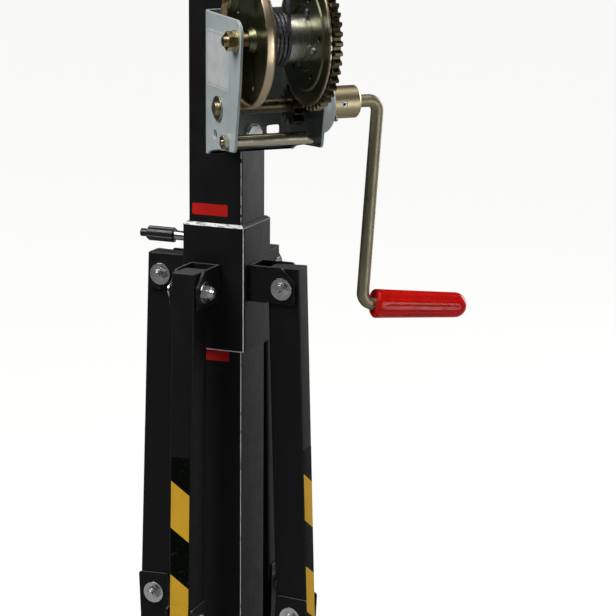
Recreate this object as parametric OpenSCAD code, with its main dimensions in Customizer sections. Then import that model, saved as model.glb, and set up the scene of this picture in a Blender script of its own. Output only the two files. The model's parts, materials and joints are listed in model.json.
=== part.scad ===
// Wind-up lifting stand: a square telescopic mast with four folding legs on a
// clamped sliding sleeve, raised by a hand winch with a load-holding brake.
// Origin: centre of the underside of the mast foot. +Z up, -Y is the front.
// Drawn folded: legs down beside the mast, inner mast down, crank hanging.

/* [Mast] */
// Outer mast, side of the square tube
outer_w = 60; // [58:1:62]
// Wall thickness of both mast tubes
mast_t = 2; // [1.5:0.5:2]
// Height of the top of the outer mast
outer_top = 1500; // [1400:10:1600]
// Inner mast, side of the square tube
inner_w = 50; // [49:1:50]
// Height that the folded inner mast stands above the outer one
inner_proud = 30; // [20:1:60]
// Diameter of the load spigot on top
spigot_d = 35; // [30:1:40]
// Length of the load spigot
spigot_l = 80; // [60:1:120]

/* [Sleeve] */
// Sliding sleeve, side of the square tube
sleeve_w = 70; // [70:1:72]
// Wall thickness of the sleeve
sleeve_t = 3; // [2.5:0.5:3]
// Height of the sleeve
sleeve_h = 130; // [120:1:140]
// Top of the sleeve above the floor when folded
sleeve_top = 763; // [755:1:775]

/* [Legs] */
// Leg tube, depth away from the mast
leg_d = 35; // [32:1:36]
// Leg tube, width along the mast face
leg_w = 25; // [23:1:26]
// Leg tube wall
leg_t = 2; // [1.5:0.5:2.5]
// Leg length from its pivot to the floor end
leg_l = 625; // [610:5:635]
// Sideways offset of every leg from the middle of its mast face
leg_off = 8.5; // [6:0.5:9]
// Leg pivot, distance from the mast axis
pivot_r = 73; // [72:0.5:76]
// Leg pivot below the sleeve top
pivot_drop = 61; // [58:1:64]
// Lean of a folded leg away from the mast, degrees
leg_lean = 1.75; // [1.5:0.05:2]
// Lean of an opened leg, degrees
leg_open = 58; // [55:1:60]
// Leg pivot to strut bolt, along the leg
strut_at = 354; // [345:1:360]

/* [Struts] */
// Strut pivot, distance from the mast axis
foot_pivot_r = 70; // [69:0.5:72]
// Strut pivot above the floor
foot_pivot_z = 30; // [28:1:34]
// Strut channel, depth away from the mast
strut_d = 35; // [34:1:38]
// Strut channel, sheet thickness
strut_t = 2; // [2:0.5:3]

/* [Winch] */
// Winch frame, width over the two cheeks
frame_w = 94; // [92:1:98]
// Winch frame sheet
frame_t = 3; // [2.5:0.5:3.5]
// Back of the winch frame, distance from the mast axis
frame_back = 56; // [54:1:58]
// Lower and upper ends of the frame above the sleeve top
frame_low = 84; // [82:1:86]
frame_high = 227; // [224:1:232]
// Drum axle, distance from the mast axis
axle_b = 151; // [148:0.5:154]
// Drum axle above the sleeve top
axle_up = 206.5; // [204:0.5:209]
// Angle below horizontal from the drum axle back to the pinion
mesh_a = 56; // [54:1:58]
// Gear module
gear_m = 3; // [3:1:3]
// Teeth on the drum gear
gear_z = 46; // [46:1:46]
// Teeth on the pinion
pinion_z = 12; // [12:1:12]
// Drum core radius
drum_r = 23; // [22:0.5:24]
// Drum flange radius
flange_r = 66; // [64:1:68]
// Wire rope diameter
wire_d = 4; // [3.8:0.1:4]
// Turns of wire on the drum
wire_turns = 6; // [3:1:6]

/* [Crank] */
// Crank radius, pinion axis to the corner of the arm
crank_r = 209; // [200:1:220]
// Diameter of the crank rod
crank_d = 13; // [12:0.5:14]
// Inward lean of the hanging crank arm, degrees
crank_lean = 4; // [3:0.5:5]
// Grip length
grip_l = 104; // [95:1:110]
// Grip diameter at its thick end
grip_d = 30; // [28:1:32]

/* [Hidden] */
$fn = 64;

black = [0.09, 0.09, 0.095];
zinc = [0.75, 0.76, 0.78];
gold = [0.72, 0.62, 0.34];
winch_grey = [0.60, 0.64, 0.64];
plastic = [0.06, 0.06, 0.06];
red = [0.68, 0.05, 0.06];
steel = [0.55, 0.56, 0.58];

eps = 0.02;           // hairline gap between parts that touch
run = 0.08;           // radial running clearance of a pin in its bore
m8 = 8;
m8_washer = 23;
corner_r = 3;         // outside corner radius of the square tubes
side_gap = 1;         // leg to bracket ear, each side

pivot_z = sleeve_top - pivot_drop;
sleeve_bottom = sleeve_top - sleeve_h;
ear_in = leg_w / 2 + side_gap;
ear_out = ear_in + 3;
strut_in = leg_w / 2 + side_gap / 2;
strut_out = strut_in + strut_t;
foot_ear_in = strut_out + 0.8;
foot_ear_out = foot_ear_in + 3;

// Folded linkage: where the strut bolt sits, and from it the strut's length
bolt_r = pivot_r + strut_at * sin(leg_lean);
bolt_z = pivot_z - strut_at * cos(leg_lean);
strut_l = norm([bolt_r - foot_pivot_r, bolt_z - foot_pivot_z]);
strut_lean = atan2(bolt_r - foot_pivot_r, bolt_z - foot_pivot_z);
// Opened linkage: how far the sleeve has slid down
open_run = pivot_r + strut_at * sin(leg_open) - foot_pivot_r;
open_bolt_z = foot_pivot_z + sqrt(strut_l * strut_l - open_run * open_run);
sleeve_travel = pivot_z - (open_bolt_z + strut_at * cos(leg_open));
strut_open = asin(open_run / strut_l);

axle_z = sleeve_top + axle_up;
gear_pitch_r = gear_m * gear_z / 2;
pinion_pitch_r = gear_m * pinion_z / 2;
centre_dist = gear_pitch_r + pinion_pitch_r;
pinion_b = axle_b - centre_dist * cos(mesh_a);
pinion_zpos = axle_z - centre_dist * sin(mesh_a);
cheek_in = frame_w / 2 - frame_t;
cheek_out = frame_w / 2;
coil_r = drum_r + wire_d / 2 + 0.1;
coil_last = -1;       // place of the last turn along the drum axle
coil_pitch = wire_d + 0.3;
pulley_r = 28;        // wire centre line on the head pulley
wire_b = 36.4;        // wire inside the mast corner, from the mast axis
pulley_b = wire_b + pulley_r;
pulley_z = outer_top + 5;
left_disc = -29;      // plane of the dished left flange
right_disc = 24;      // plane of the right flange
gear_a = 27;          // near face of the drum gear
gear_t = 8;
cover_a = 69;         // outer end of the brake cover
hub_a = 100;          // outer end of the crank hub

echo(sleeve_travel = sleeve_travel, leg_turn = leg_open - leg_lean,
     strut_turn = strut_open - strut_lean, strut_l = strut_l);
echo(pinion_b = pinion_b, pinion_zpos = pinion_zpos, axle_z = axle_z,
     pivot_z = pivot_z, pulley_b = pulley_b, pulley_z = pulley_z);

// ---------- shapes that repeat ----------

function arc(cx, cy, r, from, to, steps = 8) =
  [for (i = [0 : steps])
    [cx + r * cos(from + (to - from) * i / steps),
     cy + r * sin(from + (to - from) * i / steps)]];

function round_rect(w, d, r) = concat(
  arc(w / 2 - r, d / 2 - r, r, 0, 90, 6),
  arc(r - w / 2, d / 2 - r, r, 90, 180, 6),
  arc(r - w / 2, r - d / 2, r, 180, 270, 6),
  arc(w / 2 - r, r - d / 2, r, 270, 360, 6));

module rect_tube(w, d, t, l, r) {
  linear_extrude(l) difference() {
    polygon(round_rect(w, d, r));
    polygon(round_rect(w - 2 * t, d - 2 * t, max(r - t, 0.6)));
  }
}

// Everything on one side of the mast: 0 front, 1 right, 2 back, 3 left
module side(k) rotate([0, 0, 90 * k]) children();

// The winch stands on the front right corner: X along its axle, -Y away from
// the mast
module corner() rotate([0, 0, 45]) children();

// A cylinder along the local X axis
module along_x(r, from, to) translate([from, 0, 0]) rotate([0, 90, 0])
  cylinder(r = r, h = to - from);

// A ring along the local X axis
module ring_x(r_out, r_in, from, to) difference() {
  along_x(r_out, from, to);
  along_x(r_in, from - 1, to + 1);
}

module hex_x(af, from, to) translate([from, 0, 0]) rotate([0, 90, 0])
  cylinder(d = af / cos(30), h = to - from, $fn = 6);

// Winch place: distance b from the mast axis, height z
module at_bz(b, z) corner() translate([0, -b, z]) children();

// A straight round rod between two points
module rod(p, q, r) {
  v = q - p;
  translate(p) rotate([0, acos(v[2] / norm(v)), atan2(v[1], v[0])])
    cylinder(r = r, h = norm(v));
}

// Washer, button head with hex socket on the -X side; nut on the +X side
module pivot_bolt(reach) {
  along_x(m8 / 2, -reach - 2, reach + 2);
  bolt_ends(reach);
}

module bolt_ends(reach) {
  difference() {
    union() {
      along_x(m8_washer / 2, -reach - 2, -reach - eps);
      along_x(7, -reach - 5, -reach - 1.9);
      along_x(5.2, -reach - 6.4, -reach - 4.9);
    }
    hex_x(5, -reach - 8, -reach - 3.5);
  }
  along_x(m8_washer / 2, reach + eps, reach + 2);
  hex_x(13, reach + 1.9, reach + 8);
  along_x(5.6, reach + 7.9, reach + 10);
  along_x(3.9, reach + 9.9, reach + 11.5);
}

// Involute gear outline, one tooth centred on the angle start
function inv(a) = tan(a) * 180 / PI - a;
function half_tooth(rho, pitch_r, teeth, play) =
  let (base_r = pitch_r * cos(20))
  90 / teeth - play / pitch_r * 180 / PI + inv(20)
  - inv(acos(min(1, base_r / max(rho, base_r))));

module gear_2d(teeth, tip_r, root_r, play, start) {
  pitch_r = gear_m * teeth / 2;
  base_r = pitch_r * cos(20);
  low = max(base_r, root_r);
  flank = [for (i = [0 : 4]) low + (tip_r - low) * i / 4];
  polygon([for (k = [0 : teeth - 1])
    let (mid = start + 360 * k / teeth)
    for (p = concat(
      [[root_r, -half_tooth(low, pitch_r, teeth, play)]],
      [for (rho = flank) [rho, -half_tooth(rho, pitch_r, teeth, play)]],
      [for (i = [4 : -1 : 0])
        [flank[i], half_tooth(flank[i], pitch_r, teeth, play)]],
      [[root_r, half_tooth(low, pitch_r, teeth, play)]]))
    p[0] * [cos(mid + p[1]), sin(mid + p[1])]]);
}

// Extrude an outline drawn as (distance from the mast, height) along X
module plate_bz(from, thick) translate([from, 0, 0])
  rotate([90, 0, -90]) mirror([0, 0, 1]) linear_extrude(thick) children();

// The outside of the outer mast with a hairline gap, for cutting saddles
module mast_envelope(from, to) translate([0, 0, from])
  linear_extrude(to - from) polygon(round_rect(outer_w + 2 * eps,
                                               outer_w + 2 * eps, corner_r));

// ---------- mast ----------

module outer_mast() {
  color(black) difference() {
    translate([0, 0, 6]) rect_tube(outer_w, outer_w, mast_t, outer_top - 6,
                                   corner_r);
    // slot in the front right corner for the head pulley
    corner() translate([-6, -60, outer_top - 42]) cube([12, 35, 60]);
    // drain holes near the foot
    for (k = [0 : 1]) side(k) translate([0, 60, 18]) rotate([90, 0, 0])
      cylinder(r = 4, h = 120);
  }
}

module mast_foot() {
  color(black) difference() {
    union() {
      linear_extrude(6 - eps) polygon(round_rect(86, 86, 8));
      translate([0, 0, 1]) linear_extrude(11) difference() {
        polygon(round_rect(55.8, 55.8, 1.5));
        polygon(round_rect(49, 49, 1));
      }
    }
    // fixing holes in the four corners
    for (k = [0 : 3]) side(k) translate([33.5, -33.5, -1])
      cylinder(r = 4.5, h = 10);
  }
}

// U bracket for one strut at the mast foot
module strut_bracket() {
  z0 = foot_pivot_z;
  difference() {
    union() {
      for (s = [-1, 1])
        translate([-leg_off + (s > 0 ? foot_ear_in : -foot_ear_out), 0, 0])
          rotate([90, 0, 90]) linear_extrude(3)
            polygon(concat([[-outer_w / 2 - eps, z0 - 15]],
                           [[-outer_w / 2 - eps, z0 + 15]],
                           arc(-foot_pivot_r, z0, 15, 90, 270, 12)));
      translate([-leg_off - foot_ear_out, -outer_w / 2 - eps - 3, z0 - 15])
        cube([2 * foot_ear_out, 3, 30]);
    }
    translate([-leg_off, -foot_pivot_r, z0]) along_x(m8 / 2 + run, -40, 40);
  }
}

module strut_brackets() color(black)
  for (k = [0 : 3]) side(k) strut_bracket();

module strut_bolts() color(zinc)
  for (k = [0 : 3]) side(k)
    translate([-leg_off, -foot_pivot_r, foot_pivot_z])
      pivot_bolt(foot_ear_out);

module head_glide() {
  color(plastic) difference() {
    union() {
      translate([0, 0, outer_top - 40]) linear_extrude(40)
        polygon(round_rect(outer_w - 2 * mast_t - 0.1,
                           outer_w - 2 * mast_t - 0.1, 1.4));
      translate([0, 0, outer_top + eps]) linear_extrude(6)
        polygon(round_rect(outer_w + 4, outer_w + 4, 4));
      translate([0, 0, outer_top - 1]) linear_extrude(2)
        polygon(round_rect(outer_w - 2 * mast_t - 1, outer_w - 2 * mast_t - 1,
                           1.4));
    }
    translate([0, 0, outer_top - 41]) linear_extrude(60)
      polygon(round_rect(inner_w + 0.5, inner_w + 0.5, corner_r));
    // room for the pulley and the wire in the corner
    corner() translate([-8, -60, outer_top - 45]) cube([16, 35, 60]);
  }
}

// Two side plates welded to the mast corner carry the head pulley
module head_bracket() {
  color(black) difference() {
    corner() for (s = [-1, 1])
      plate_bz(s > 0 ? 6.5 : -9.5, 3)
        polygon(concat([[20, pulley_z - 75], [44, pulley_z - 75]],
                       arc(pulley_b + 6, pulley_z, 18, -40, 90, 8),
                       [[20, pulley_z - 5]]));
    mast_envelope(outer_top - 90, outer_top + 60);
    translate([0, 0, outer_top - 8]) linear_extrude(60)
      polygon(round_rect(outer_w + 5, outer_w + 5, 4));
    at_bz(pulley_b, pulley_z) along_x(5 + run, -20, 20);
  }
}

module pulley_axle() color(zinc) at_bz(pulley_b, pulley_z) {
  along_x(5, -9.6, 15);
  difference() {
    hex_x(16, -16, -9.6);
    along_x(2, -17, -15);
  }
  hex_x(16, 9.6, 16.5);
}

module head_pulley() {
  groove = wire_d / 2 + 0.2;
  color(zinc) at_bz(pulley_b, pulley_z) rotate([0, 90, 0]) difference() {
    translate([0, 0, -4.5]) cylinder(r = 30.4, h = 9);
    rotate_extrude() translate([pulley_r, 0]) circle(r = groove, $fn = 24);
    rotate_extrude() translate([pulley_r, 0])
      polygon([[0, -groove], [4, -3.4], [4, 3.4], [0, groove]]);
    for (s = [-1, 1]) translate([0, 0, s * 4.5 - 1.5]) difference() {
      cylinder(r = 22, h = 3);
      cylinder(r = 10, h = 3);
    }
    cylinder(r = 5 + run, h = 30, center = true);
  }
}

// ---------- winch, fixed parts ----------

// Two gussets and a face plate stand the winch off the mast corner
module winch_bracket() {
  z0 = sleeve_top + frame_low + 3;
  z1 = sleeve_top + frame_high - 8;
  color(black) difference() {
    corner() {
      translate([-22, -frame_back + eps, z0]) cube([44, 5, z1 - z0]);
      for (s = [-1, 1]) translate([s * 20 - 2, 4 - frame_back, z0])
        cube([4, 41, z1 - z0]);
    }
    mast_envelope(z0 - 5, z1 + 5);
    winch_bolt_holes(4.3);
  }
}

// Winch bolts: sideways place and height above the sleeve top
bolt_spots = [[6.5, frame_low + 18], [-9, frame_high - 32],
              [9, frame_high - 32]];
module winch_bolt_holes(r) corner() for (spot = bolt_spots)
  translate([spot[0], 8 - frame_back, sleeve_top + spot[1]])
    rotate([90, 0, 0]) cylinder(r = r, h = 14);

module winch_bolts() color(zinc) corner() for (spot = bolt_spots)
  translate([spot[0], 0, sleeve_top + spot[1]]) rotate([90, 0, 0]) {
    translate([0, 0, frame_back - 8]) cylinder(r = 4, h = 14);
    translate([0, 0, frame_back + frame_t + eps]) cylinder(r = 8.5, h = 1.6);
    translate([0, 0, frame_back + frame_t + 1.5])
      cylinder(d = 13 / cos(30), h = 5.4, $fn = 6);
    translate([0, 0, frame_back - 11.4])
      cylinder(d = 13 / cos(30), h = 6.3, $fn = 6);
  }

frame_bend = 12;      // outside radius of the bends beside the back plate
cheek = concat(
  [[frame_back + frame_bend, frame_low]],
  [[78, frame_low + 4.5], [100, frame_low + 9], [137, frame_low + 12]],
  arc(141, frame_low + 18, 6, -70, -10, 4),
  [[151, frame_low + 39], [160, frame_low + 81]],
  arc(150, frame_high - 15, 14.5, -10, 90, 8),
  [[frame_back + frame_bend, frame_high]]);

module winch_frame() {
  bend = frame_bend;
  color(winch_grey) difference() {
    corner() {
      for (s = [-1, 1])
        plate_bz(s > 0 ? cheek_in : -cheek_out, frame_t)
          translate([0, sleeve_top]) polygon(cheek);
      // back plate with the two bends
      translate([0, 0, sleeve_top + frame_low])
        linear_extrude(frame_high - frame_low) difference() {
          polygon(concat(
            [[cheek_out, -frame_back - bend - 0.5]],
            arc(cheek_out - bend, -frame_back - bend, bend, 0, 90, 6),
            arc(bend - cheek_out, -frame_back - bend, bend, 90, 180, 6),
            [[-cheek_out, -frame_back - bend - 0.5]]));
          polygon(concat(
            [[cheek_in, -frame_back - bend - 1]],
            arc(cheek_out - bend, -frame_back - bend, bend - frame_t,
                0, 90, 6),
            arc(bend - cheek_out, -frame_back - bend, bend - frame_t,
                90, 180, 6),
            [[-cheek_in, -frame_back - bend - 1]]));
        }
    }
    at_bz(axle_b, axle_z) along_x(5.05, -60, 60);
    at_bz(pinion_b, pinion_zpos) along_x(9 + run, -60, 60);
    at_bz(tie_b, tie_z) along_x(4.05, -60, 60);
    at_bz(92, sleeve_top + 107) along_x(4.7, -60, 0);
    winch_bolt_holes(4.3);
    // two square holes beside the lower bolt
    corner() for (s = [-1, 1])
      translate([s * 28.2, 6 - frame_back, sleeve_top + frame_low + 19])
        rotate([90, 0, 0]) linear_extrude(12)
          polygon(round_rect(14, 9.6, 2.5));
    screw_places() along_x(1.7, cheek_in - 6, cheek_out + 6);
    at_bz(pinion_b, pinion_zpos) pawl_pivot() along_x(2 + eps, cheek_in - 2,
                                                      cheek_out + 2);
  }
}

tie_b = 126.5;
tie_z = sleeve_top + 104.5;

module drum_axle() color(gold) at_bz(axle_b, axle_z) {
  along_x(5, -cheek_out - 13.5, cheek_out + 3);
  hex_x(17, cheek_out + eps, cheek_out + 6.5);
  difference() {
    along_x(10.5, -cheek_out - 2, -cheek_out - eps);
    along_x(4.5, -cheek_out - 3, -cheek_out);
  }
  hex_x(17, -cheek_out - 10, -cheek_out - 1.9);
}

module axle_spacers() color(gold) at_bz(axle_b, axle_z) {
  ring_x(7.5, 5.05, -cheek_in + eps, left_disc + 2 - eps);
  ring_x(7.5, 5.05, gear_a + gear_t + 2, cheek_in - eps);
}

module tie_rod() color(gold) at_bz(tie_b, tie_z) {
  along_x(6.2, -cheek_in + eps, cheek_in - eps);
  for (s = [-1, 1]) {
    along_x(4, s > 0 ? cheek_in - 2 : -cheek_out - 2,
            s > 0 ? cheek_out + 2 : -cheek_in + 2);
    hex_x(13, s > 0 ? cheek_out + eps : -cheek_out - 5.5,
          s > 0 ? cheek_out + 5.5 : -cheek_out - eps);
    along_x(2.6, s > 0 ? cheek_out + 5 : -cheek_out - 7,
            s > 0 ? cheek_out + 7 : -cheek_out - 5);
  }
}

// Bearing cap over the left end of the pinion shaft
module pinion_cap() color(zinc) at_bz(pinion_b, pinion_zpos) {
  along_x(12.5, -cheek_out - 2, -cheek_out - eps);
  along_x(6.5, -cheek_out - 5, -cheek_out - 1.9);
}

// Three screws hold the brake cover; their heads sit on spot faces
screw_seat = cover_a - 1;
module screw_places() for (k = [0 : 2])
  at_bz(pinion_b, pinion_zpos) rotate([90 + 120 * k, 0, 0])
    translate([0, 25.5, 0]) children();

module brake_cover() {
  wall = 1.5;
  color(winch_grey) difference() {
    at_bz(pinion_b, pinion_zpos) rotate([0, 90, 0]) rotate_extrude()
      polygon(concat(
        [[17.2, cover_a - wall], [22, cover_a - wall]],
        arc(29.5 - 8, cover_a - 8 - wall, 8, 80, 0, 6),
        [[29.5, cheek_out + eps], [31, cheek_out + eps]],
        arc(31 - 9.5, cover_a - 9.5, 9.5, 0, 80, 6),
        [[17.2, cover_a]]));
    screw_places() along_x(1.7, cheek_in - 6, cover_a + 6);
    screw_places() along_x(3.3, screw_seat - eps, cover_a + 5);
  }
}

module cover_screws() color(zinc) screw_places() {
  along_x(1.6, cheek_in - 3, screw_seat + 0.5);
  along_x(3.2, screw_seat, screw_seat + 2.4);
}

// Pawl pivot, seen from the pinion axis
pawl_at = [-13, 22];
module pawl_pivot() translate([0, pawl_at[0], pawl_at[1]]) children();

module pawl_pin() color(steel) at_bz(pinion_b, pinion_zpos)
  pawl_pivot() along_x(2, cheek_in + 0.4, cheek_out + 9);

// ---------- wire ----------

// Tangent from the front of the drum to the front of the head pulley
run_b = pulley_b - axle_b;
run_z = pulley_z - axle_z;
run_a = atan2(run_z, run_b) - acos((coil_r - pulley_r) / norm([run_b, run_z]));

module hoist_wire() color([0.25, 0.25, 0.26]) corner() {
  low = [coil_last, -axle_b - coil_r * cos(run_a),
         axle_z + coil_r * sin(run_a)];
  high = [0, -pulley_b - pulley_r * cos(run_a),
          pulley_z + pulley_r * sin(run_a)];
  // the run starts clear of the turns that move with the drum
  rod(low + 15 * (high - low) / norm(high - low), high, wire_d / 2);
  // over the pulley and down to the inside of the mast
  translate([0, -pulley_b, pulley_z]) rotate([0, 90, 0])
    rotate_extrude(angle = 180 - run_a - 0.1, start = 90)
      translate([pulley_r, 0]) circle(r = wire_d / 2, $fn = 20);
}

module lift_wire() color([0.25, 0.25, 0.26])
  at_bz(wire_b, 40) cylinder(r = wire_d / 2, h = pulley_z - 42);

module wire_coil() color([0.25, 0.25, 0.26]) at_bz(axle_b, axle_z)
  for (k = [0 : wire_turns - 1])
    translate([coil_last - coil_pitch * k, 0, 0]) rotate([0, 90, 0])
      rotate_extrude() translate([coil_r, 0]) circle(r = wire_d / 2, $fn = 20);

// ---------- drum ----------

module drum_core() color(steel) at_bz(axle_b, axle_z) difference() {
  along_x(drum_r, left_disc + 2 + eps, right_disc - eps);
  along_x(5 + run, left_disc, right_disc + 4);
  ring_x(18, 9, left_disc + 8, right_disc - 8);
}

// Holes around a flange: [radius, angle from the front, hole radius]
module flange_holes(list, from, to) for (h = list)
  rotate([-h[1], 0, 0]) translate([0, -h[0], 0]) along_x(h[2], from, to);

module drum_flange_left() color(gold) at_bz(axle_b, axle_z) difference() {
  rotate([0, 90, 0]) rotate_extrude() polygon(concat(
    [[8, left_disc - 7], [9.6, left_disc - 7], [12.5, left_disc - 1]],
    [[flange_r - 16, left_disc], [flange_r - 10, left_disc - 2.5]],
    arc(flange_r - 5.5, left_disc - 6, 3.5, 90, 0, 4),
    [[flange_r - 2, left_disc - 11], [flange_r, left_disc - 11]],
    arc(flange_r - 5.5, left_disc - 5.5, 5.5, 0, 80, 5),
    [[flange_r - 9.5, left_disc - 0.5], [flange_r - 15, left_disc + 2]],
    [[8, left_disc + 2]]));
  flange_holes([[48, 78, 3.2], [40, 30, 2.6], [48, 150, 3.2],
                [48, 270, 3.2]], left_disc - 8, left_disc + 8);
}

module drum_flange_right() color(gold) at_bz(axle_b, axle_z) difference() {
  rotate([0, 90, 0]) rotate_extrude() polygon([
    [8, right_disc], [31, right_disc], [33, right_disc - 1.5],
    [50, right_disc - 1.5], [52, right_disc], [flange_r, right_disc],
    [flange_r, right_disc + 2], [8, right_disc + 2]]);
  flange_holes([[41, 5, 3], [41, -60, 3], [41, 70, 3], [41, 160, 3],
                [41, 230, 3]], right_disc - 8, right_disc + 8);
  flange_screw_places() along_x(2.1, right_disc - 4, right_disc + 4);
}

module flange_screw_places() for (k = [0 : 3])
  rotate([20 + 90 * k, 0, 0]) translate([0, -28, 0]) children();

// Screws clamp the right flange and the gear to the core's end
module flange_screws() color(zinc) at_bz(axle_b, axle_z)
  flange_screw_places() {
    along_x(2, right_disc - 0.6, gear_a + gear_t - 1);
    along_x(3.4, right_disc - 3, right_disc - 0.5);
  }

module drum_gear() color(gold) at_bz(axle_b, axle_z) difference() {
  rotate([0, 90, 0]) translate([0, 0, gear_a]) linear_extrude(gear_t)
    gear_2d(gear_z, gear_pitch_r + 2.2, gear_pitch_r - 3.4, 0.12,
            90 - mesh_a);
  along_x(8, gear_a - 2, gear_a + gear_t + 2);
  ring_x(60, 16, gear_a + gear_t - 2, gear_a + gear_t + 1);
  flange_screw_places() along_x(2.1, gear_a - 2, gear_a + gear_t - 0.5);
}

// ---------- pinion shaft, brake and crank ----------

module pinion_shaft() color(gold) at_bz(pinion_b, pinion_zpos) {
  along_x(9, -cheek_out + 0.2, -cheek_in + 4);
  along_x(7.3, -cheek_in + 3.9, gear_a);
  rotate([0, 90, 0]) translate([0, 0, gear_a - 0.5])
    linear_extrude(gear_t + 4)
      gear_2d(pinion_z, pinion_pitch_r + 3, pinion_pitch_r - 3.75, 0.12,
              270 - mesh_a + 180 / pinion_z);
  along_x(9, gear_a + gear_t + 3.4, cheek_out + 2);
  along_x(8, cheek_out + 1.9, 72);
}

// Saw-toothed wheel that the pawl holds against the load
module ratchet_wheel() {
  teeth = 12;
  color(steel) at_bz(pinion_b, pinion_zpos) rotate([0, 90, 0])
    translate([0, 0, cheek_out + 4.2]) linear_extrude(5) difference() {
      polygon([for (k = [0 : teeth - 1]) for (p = [[17, 0], [14, 4]])
        let (a = 172 + 360 * k / teeth + p[1]) p[0] * [cos(a), sin(a)]]);
      circle(r = 8 + eps);
    }
}

module friction_discs() color([0.3, 0.26, 0.22])
  at_bz(pinion_b, pinion_zpos) {
    ring_x(13.5, 8 + eps, cheek_out + 2.2, cheek_out + 4.1);
    ring_x(13.5, 8 + eps, cheek_out + 9.3, cheek_out + 11.2);
  }

module crank_hub() {
  r = 16.5;
  color(gold) difference() {
    at_bz(pinion_b, pinion_zpos) rotate([0, 90, 0]) rotate_extrude()
      polygon([[8 + eps, cheek_out + 11.3], [r, cheek_out + 11.3],
               [r, hub_a - 2], [r - 2, hub_a], [bar_r + eps, hub_a],
               [bar_r + eps, 73], [8 + eps, 73]]);
    at_bz(pinion_b, pinion_zpos) translate([81, 0, 0]) rotate([90, 0, 0])
      cylinder(r = 3, h = 30);
  }
}

module hub_screw() color(zinc)
  at_bz(pinion_b, pinion_zpos) translate([81, 0, 0]) rotate([90, 0, 0])
    difference() {
      translate([0, 0, bar_r + 0.1]) cylinder(r = 3 - eps, h = 9.6);
      translate([0, 0, 13]) cylinder(r = 1.7, h = 5, $fn = 6);
    }

// A length of round bar bent by the angle turn; it starts at p with heading h
module bend(p, h, r, turn) {
  way = turn > 0 ? 1 : -1;
  translate([p[0] - way * r * sin(h), p[1] + way * r * cos(h), 0])
    rotate_extrude(angle = abs(turn),
                   start = turn > 0 ? h - 90 : h + 90 + turn)
      translate([r, 0]) circle(d = crank_d);
}

// A straight length of the same bar, a hair thinner so that the bends cap it
lap = 0.4;
bar_r = crank_d / 2 - 0.05;
module straight(p, q) rod([p[0], p[1], 0], [q[0], q[1], 0], bar_r);

arm_a = 124.2;        // arm line at the height of the pinion axis
grip_tilt = crank_lean + 1.4;
arm_dir = [-sin(crank_lean), -cos(crank_lean)];
grip_dir = [cos(grip_tilt), -sin(grip_tilt)];
arm_corner = [arm_a - crank_r * tan(crank_lean), -crank_r];
top_bend_r = 10;
low_bend_r = 12;
top_cut = top_bend_r * tan((90 + crank_lean) / 2);
low_cut = low_bend_r * tan((90 + crank_lean - grip_tilt) / 2);
grip_from = 13;       // grip's near face, measured from the arm's corner

// In the plane of the crank: X away from the winch, Y up, from the pinion axis
module crank_plane() at_bz(pinion_b, pinion_zpos) rotate([90, 0, 0])
  children();

module crank_arm() color(gold) crank_plane() {
  top_end = [arm_a, 0] + top_cut * arm_dir;
  low_start = arm_corner - low_cut * arm_dir;
  low_end = arm_corner + low_cut * grip_dir;
  pin_end = arm_corner + (grip_from + grip_l - 8) * grip_dir;
  straight([73.2, 0], [arm_a - top_cut + lap, 0]);
  bend([arm_a - top_cut, 0], 0, top_bend_r, -90 - crank_lean);
  straight(top_end - lap * arm_dir, low_start + lap * arm_dir);
  bend(low_start, -90 - crank_lean, low_bend_r, 90 + crank_lean - grip_tilt);
  straight(low_end - lap * grip_dir, pin_end);
}

module grip() {
  r1 = grip_d / 2;
  r2 = r1 - 1.8;
  bore = bar_r + run;
  depth = grip_l - 7.5;
  start = arm_corner + grip_from * grip_dir;
  color(red) crank_plane() translate([start[0], start[1], 0])
    rotate([0, 0, -grip_tilt]) rotate([0, 90, 0]) rotate_extrude()
      polygon(concat(
        [[bore, 0], [r1 - 2.5, 0]],
        arc(r1 - 2, 2, 2, -80, 0, 4),
        [[r2, grip_l - 12]],
        arc(r2 - 8, grip_l - 12, 8, 10, 50, 4),
        [[4, grip_l - 1], [0, grip_l]],
        [[0, depth], [bore, depth]]));
}

module ratchet_pawl() color(steel)
  at_bz(pinion_b, pinion_zpos) translate([cheek_out + 4.6, 0, 0])
    rotate([90, 0, 90]) linear_extrude(4.2) difference() {
      polygon(concat(arc(pawl_at[0], pawl_at[1], 3.6, 60, 235, 10),
                     [[-9, 18.6], [-0.4, 17.3], [1.2, 17.3], [1.2, 20],
                      [-7, 23]]));
      translate(pawl_at) circle(r = 2 + run, $fn = 32);
    }

// ---------- sleeve, brackets and clamp ----------

clamp_z = sleeve_top - 20;
lip_h = 3;
lip_slope = 38;       // slope of the sleeve's leaning top, degrees

// The top of the sleeve leans in to a lip that slides on the mast
module sleeve() color(black) difference() {
  translate([0, 0, sleeve_bottom]) linear_extrude(sleeve_h + lip_h)
    polygon(round_rect(sleeve_w, sleeve_w, corner_r + 1));
  translate([0, 0, sleeve_bottom - 1]) linear_extrude(sleeve_h - 1)
    polygon(round_rect(sleeve_w - 2 * sleeve_t, sleeve_w - 2 * sleeve_t,
                       corner_r + 1 - sleeve_t));
  translate([0, 0, sleeve_bottom]) linear_extrude(sleeve_h + lip_h + 1)
    polygon(round_rect(outer_w + 0.5, outer_w + 0.5, corner_r));
  for (k = [0 : 3]) side(k)
    translate([0, -sleeve_w / 2, sleeve_top]) rotate([lip_slope, 0, 0])
      translate([-sleeve_w, -20, 0]) cube([2 * sleeve_w, 40, 10]);
  translate([-20, 0, clamp_z]) rotate([0, -90, 0]) cylinder(r = 5.2, h = 30);
}

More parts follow.
